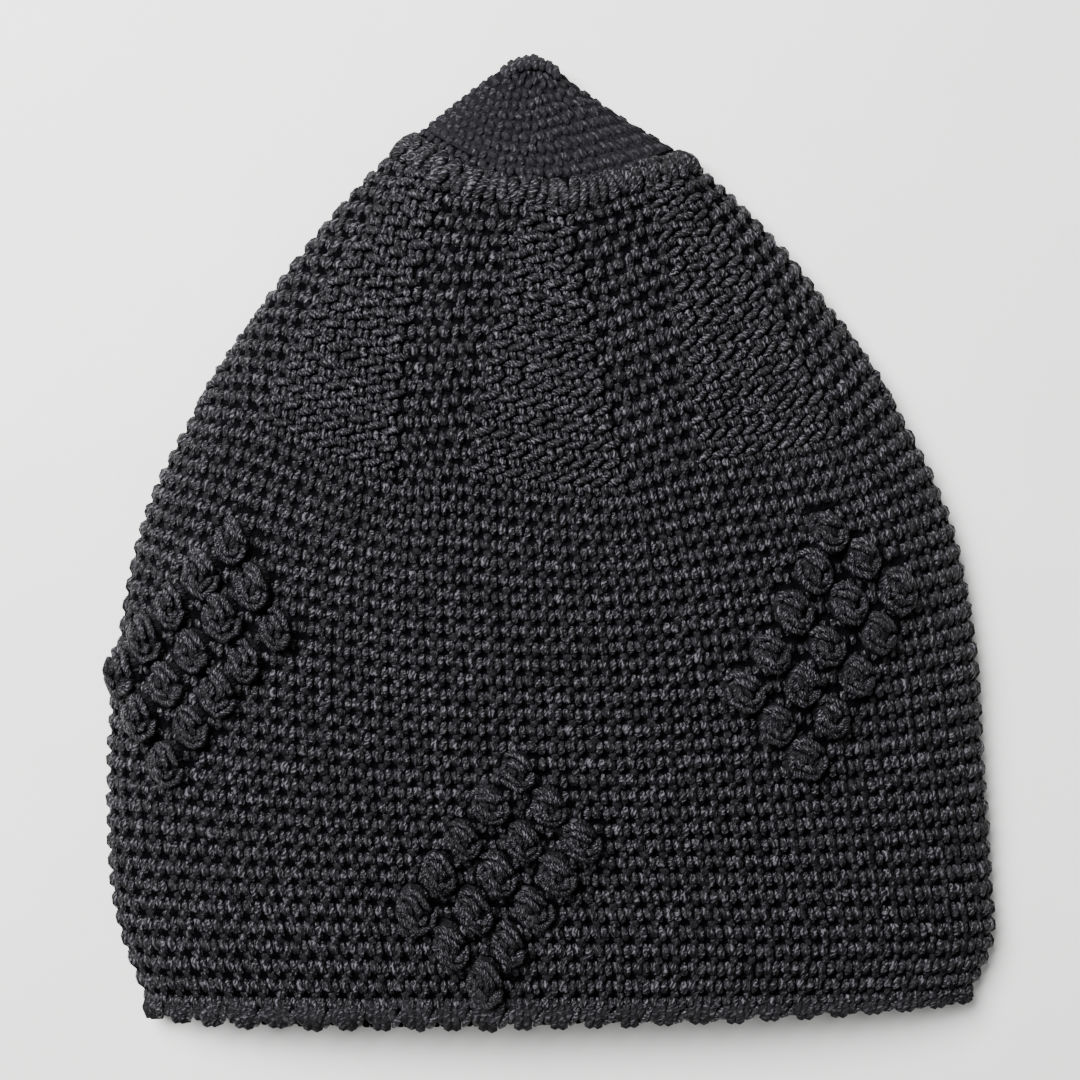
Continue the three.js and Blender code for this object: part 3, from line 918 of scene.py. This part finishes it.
def backed_cloth():
    """The cloth behind the stitches, in ribs that follow the rounds, and paler in the tip."""
    material, nodes, shader = finish("cloth behind the stitches", GROUND_SPECULAR)
    uv = nodes.add("ShaderNodeUVMap", {"uv_map": "cord"})
    stitch, at_round = nodes.axis(uv, "X"), nodes.axis(uv, "Y")
    turn = 2 * math.pi
    knots = (stitch * turn).math("SINE") * STITCH_RIB + (at_round * turn).math("SINE") * ROUND_RIB + 0.5
    noise = nodes.add("ShaderNodeTexNoise", {}, {"Vector": uv, "Scale": 8.0, "Detail": 2.0}, "Fac")
    bump = nodes.add("ShaderNodeBump", {}, {"Strength": 0.9, "Distance": 0.0012, "Height": knots + noise})
    in_tip = at_round.math("LESS_THAN", TIP_END)
    shade = (knots * noise).math("POWER", 2.0) * RIB_LIT + TIP_LIT * in_tip
    colour = mixed(nodes, shade, GROUND_BLACK, GROUND_LIT)
    nodes.fill(shader, {"Normal": bump, "Base Color": colour, "Roughness": 0.95, "IOR": 1.0})
    return material


def pale_stone():
    """The surface that the cap lies on: pale and faintly clouded."""
    material, nodes, shader = finish("pale surface", PALE_SPECULAR)
    where = nodes.add("ShaderNodeTexCoord", {}, {}, "Object")
    clouded = {"Vector": where, "Scale": 14.0, "Detail": 4.0, "Distortion": 1.2}
    cloud = nodes.add("ShaderNodeTexNoise", {}, clouded, "Fac")
    colour = mixed(nodes, cloud, PALE_DARKER, PALE_LIGHTER)
    nodes.fill(shader, {"Base Color": colour, "Roughness": 0.6})
    return material


black_cord = plied_cord("black cord", plies=4, pitch=7.0, relief=1.0, glints=1.0, body=0.0)
smooth_cord = plied_cord("black cord drawn smooth", plies=4, pitch=7.0, relief=0.5, glints=0.4, body=0.07)
raised_cord = plied_cord("raised black cord", plies=5, pitch=6.5, relief=0.95, glints=0.95, body=0.0)


# Pieces

wrapping = stitch_tree()
carrier = chart_carrier()


def stand_for(piece, slot, *nodes):
    """Attaches a piece to the cap, in place of these CAD nodes, which it hides. Its slot is not used."""
    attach(piece, "root")
    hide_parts(*nodes)


def stitched(name, places, stitch, cord, node, slot, seed, turn=0.1, size=0.06, shift=0.12):
    """One piece: a stitch repeated at its places, as a plain mesh that stands for its CAD node."""
    laid = places_of(name, places)
    modifier = laid.modifiers.new("stitches", "NODES")
    modifier.node_group = wrapping
    values = {
        "Stitches To Pick": stitch,
        "Cloth": carrier,
        "Cord": cord,
        "Way Round": WAY_ROUND * MM,
        "Round Height": ROUND_HEIGHT * MM,
        "Turn Variation": turn,
        "Size Variation": size,
        "Shift Variation": shift * MM,
        "Seed": seed,
    }
    for socket in wrapping.interface.items_tree:
        if socket.in_out == "INPUT" and socket.name in values:
            modifier[socket.identifier] = values[socket.name]
    depsgraph = bpy.context.evaluated_depsgraph_get()
    mesh = bpy.data.meshes.new_from_object(
        laid.evaluated_get(depsgraph), preserve_all_data_layers=True, depsgraph=depsgraph
    )
    laid.modifiers.remove(modifier)
    laid.data = mesh
    stand_for(laid, slot, node)


def tip_knot():
    """The closing loops over the point of the cap, from the upper layer to the underside."""
    strands = []
    for across in KNOT_STRANDS:
        x = KNOT_MIDDLE + across
        edge = KNOT_EDGE - KNOT_ROUNDING * (across / KNOT_HALF_WIDE) ** 2
        path = [
            (x + 0.8, edge - 4.6, 11.0),
            (x + 0.4, edge - 3.1, 10.8),
            (x, edge - 1.7, 9.0),
            (x, edge - 1.4, 6.2),
            (x, edge - 2.4, 3.2),
            (x, edge - 5.0, 1.7),
        ]
        strands.append(strand(path, [2.0, 2.8, 3.0, 3.0, 2.8, 2.0]))
    knot = stitch_of("tip_knot", strands)
    knot.data.materials.append(smooth_cord)
    write_values(knot.data, "lot", [0.5] * len(knot.data.vertices))
    knot.data.shade_smooth()
    stand_for(knot, "black_cord", "crown_tip")


def inner_cloth():
    """The cloth behind the stitches: one hollow shell from the closed tip to the open rim."""
    count = GROUND_POINTS
    shares = np.arange(count) / count
    point = np.arange(GROUND_START, POINT_END, GROUND_FINE_STEP)
    outer = [*point, *np.arange(POINT_END, GROUND_RIM - GROUND_LEAST_STEP, GROUND_STEP), GROUND_RIM]
    inner = [GROUND_RIM, *np.arange(HOLLOW_FIRST, HOLLOW_LAST, HOLLOW_STEP), HOLLOW_END]
    loops = [cloth_points(r, shares, GROUND_DEPTH) for r in outer]
    loops += [cloth_points(r, shares, CLOTH_THICKNESS) for r in inner]
    points = np.concatenate([*loops, [loops[0].mean(axis=0)], [loops[-1].mean(axis=0)]]) * MM
    points[:, 2] = np.maximum(points[:, 2], 0)
    faces = grid_faces(len(loops), count, closed=True)
    sides = [(j / count * WALL_STITCHES, (j + 1) / count * WALL_STITCHES) for j in range(count)]
    corners = grid_corners([*outer, *inner], sides)
    first_pole = len(loops) * count
    last_loop = (len(loops) - 1) * count
    for j in range(count):
        k = (j + 1) % count
        faces += [(j, k, first_pole), (last_loop + j, first_pole + 1, last_loop + k)]
        corners += [(0.0, 0.0)] * 6
    behind = new_object("inner_cloth", points, faces)
    write_cord_uv(behind.data, corners)
    behind.data.shade_smooth()
    behind.data.materials.append(backed_cloth())
    hidden = ("crown_tip", "ridge_round", "swirl_crown", "side_wall", "scalloped_edging")
    stand_for(behind, "black_cord", *hidden)


plain = variants("plain_stitches", 6, plain_stitch)
bar = variants("panel_stitches", 5, panel_stitch)
upright = variants("ridge_stitches_to_pick", 4, ridge_stitch)
puff = variants("popcorns", 9, popcorn_stitch)
shell = variants("scallops", 4, scallop)

stitched("crown_tip_stitches", tip_places(), plain, smooth_cord, "crown_tip", "black_cord", seed=11)
stitched("ridge_stitches", ridge_places(), upright, raised_cord, "ridge_round", "raised_cord", seed=21)
stitched("crown_panel_bars", crown_places(True), bar, black_cord, "swirl_crown", "black_cord", seed=31)
stitched("crown_plain_stitches", crown_places(False), plain, black_cord, "swirl_crown", "black_cord", seed=41)
stitched("wall_stitches_upper", wall_places(True), plain, black_cord, "side_wall", "black_cord", seed=51)
stitched("wall_stitches_under", wall_places(False), plain, black_cord, "side_wall", "black_cord", seed=61)
stitched("edging_scallops", edging_places(), shell, black_cord, "scalloped_edging", "black_cord", seed=71)
popcorns_stray = {"turn": 0.28, "size": 0.07, "shift": 0.4}
for cluster, seed in zip(CLUSTERS, (81, 91, 101)):
    name = cluster.replace("cluster", "stitches")
    stitched(name, cluster_places(cluster), puff, raised_cord, cluster, "raised_cord", seed, **popcorns_stray)
tip_knot()
inner_cloth()

for kinds in (plain, bar, upright, puff, shell):
    for helper in list(kinds.objects):
        bpy.data.objects.remove(helper)
    bpy.data.collections.remove(kinds)
bpy.data.objects.remove(carrier)


# The surface, the light and the camera

SURFACE = 3.0  # half its width, in metres
ROOM_COLOUR = (0.98, 1.0, 0.985, 1)
ROOM_STRENGTH = 0.36
WINDOW_PLACE = (-0.42, 0.42, 0.85)
WINDOW_SIZE = 0.6
WINDOW_WATTS = 44
CAMERA_PLACE = (-0.003105, 0.001005, 0.492)
CAMERA_LENS = 60
CAMERA_SENSOR = 36

corner_signs = ((-1, -1), (1, -1), (1, 1), (-1, 1))
surface = new_object("surface", [(x * SURFACE, y * SURFACE, 0) for x, y in corner_signs], [(0, 1, 2, 3)])
surface.data.materials.append(pale_stone())

world = bpy.data.worlds.new("pale room")
bpy.context.scene.world = world
world.use_nodes = True
room_light = world.node_tree.nodes["Background"]
room_light.inputs["Color"].default_value = ROOM_COLOUR
room_light.inputs["Strength"].default_value = ROOM_STRENGTH


def soft_light(name, place, size, power):
    """A square soft light that faces the middle of the cap."""
    light = bpy.data.lights.new(name, "AREA")
    light.shape = "SQUARE"
    light.size = size
    light.energy = power
    lamp = bpy.data.objects.new(name, light)
    bpy.context.scene.collection.objects.link(lamp)
    lamp.location = place
    x, y, z = place
    lamp.rotation_euler = (math.atan2(math.hypot(x, y), z), 0, math.atan2(x, -y))


soft_light("window", WINDOW_PLACE, WINDOW_SIZE, WINDOW_WATTS)

camera = bpy.data.objects.new("camera", bpy.data.cameras.new("camera"))
bpy.context.scene.collection.objects.link(camera)
camera.data.lens = CAMERA_LENS
camera.data.sensor_width = CAMERA_SENSOR
camera.location = CAMERA_PLACE
bpy.context.scene.camera = camera
